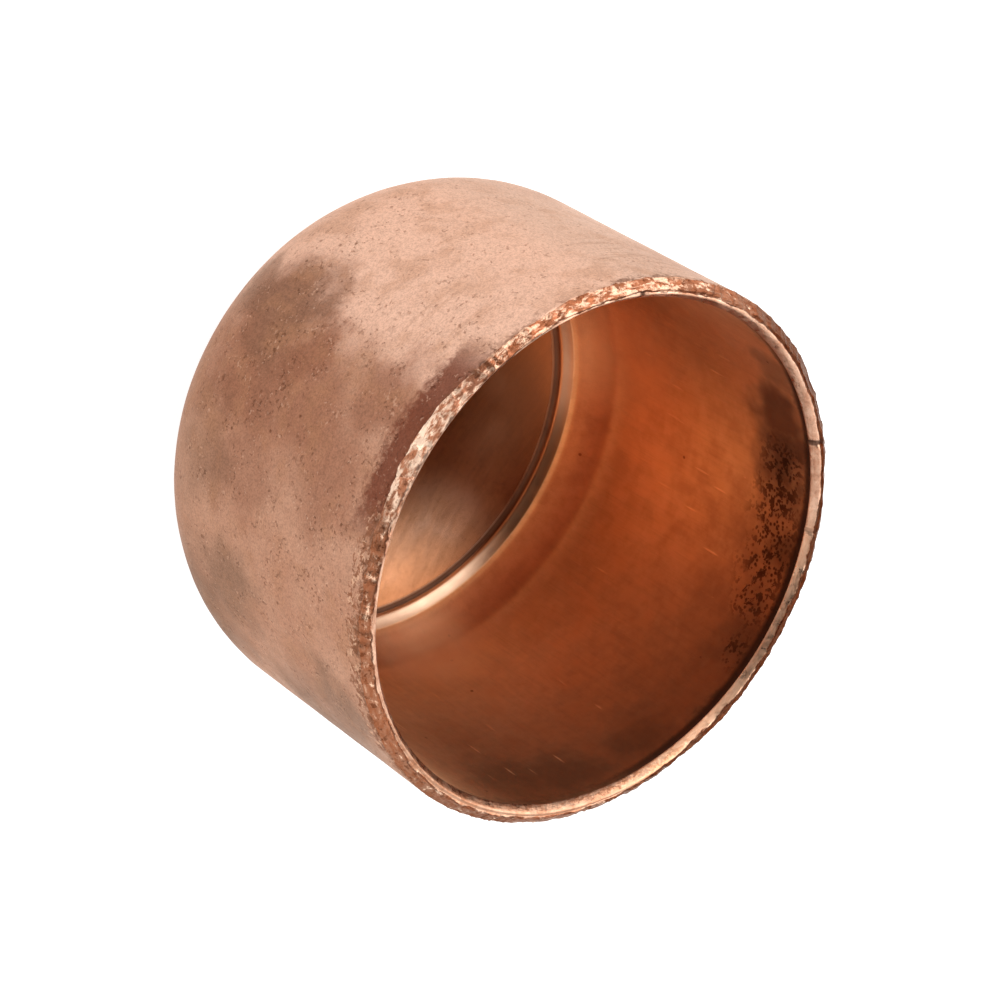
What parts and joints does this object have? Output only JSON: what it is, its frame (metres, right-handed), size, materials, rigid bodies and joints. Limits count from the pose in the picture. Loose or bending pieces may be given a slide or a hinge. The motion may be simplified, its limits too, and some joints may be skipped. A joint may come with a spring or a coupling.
{
  "type": "pipe cap",
  "caption": "Drawn copper tube cap: a seamless cup with a straight solder socket, rounded corners and a closed end.",
  "frame": {"origin": "centre of the closed end's flat outside face", "axes": "+Z along the socket axis, out of the mouth; the closed end rests on z = 0; X and Y are any two directions across the round body"},
  "size_m": [0.0378, 0.0378, 0.0288],
  "materials": {
    "copper": "bare drawn copper, satin, lightly oxidised and stained"
  },
  "bodies": {
    "root": {"cap_body": "copper"}
  },
  "joints": []
}
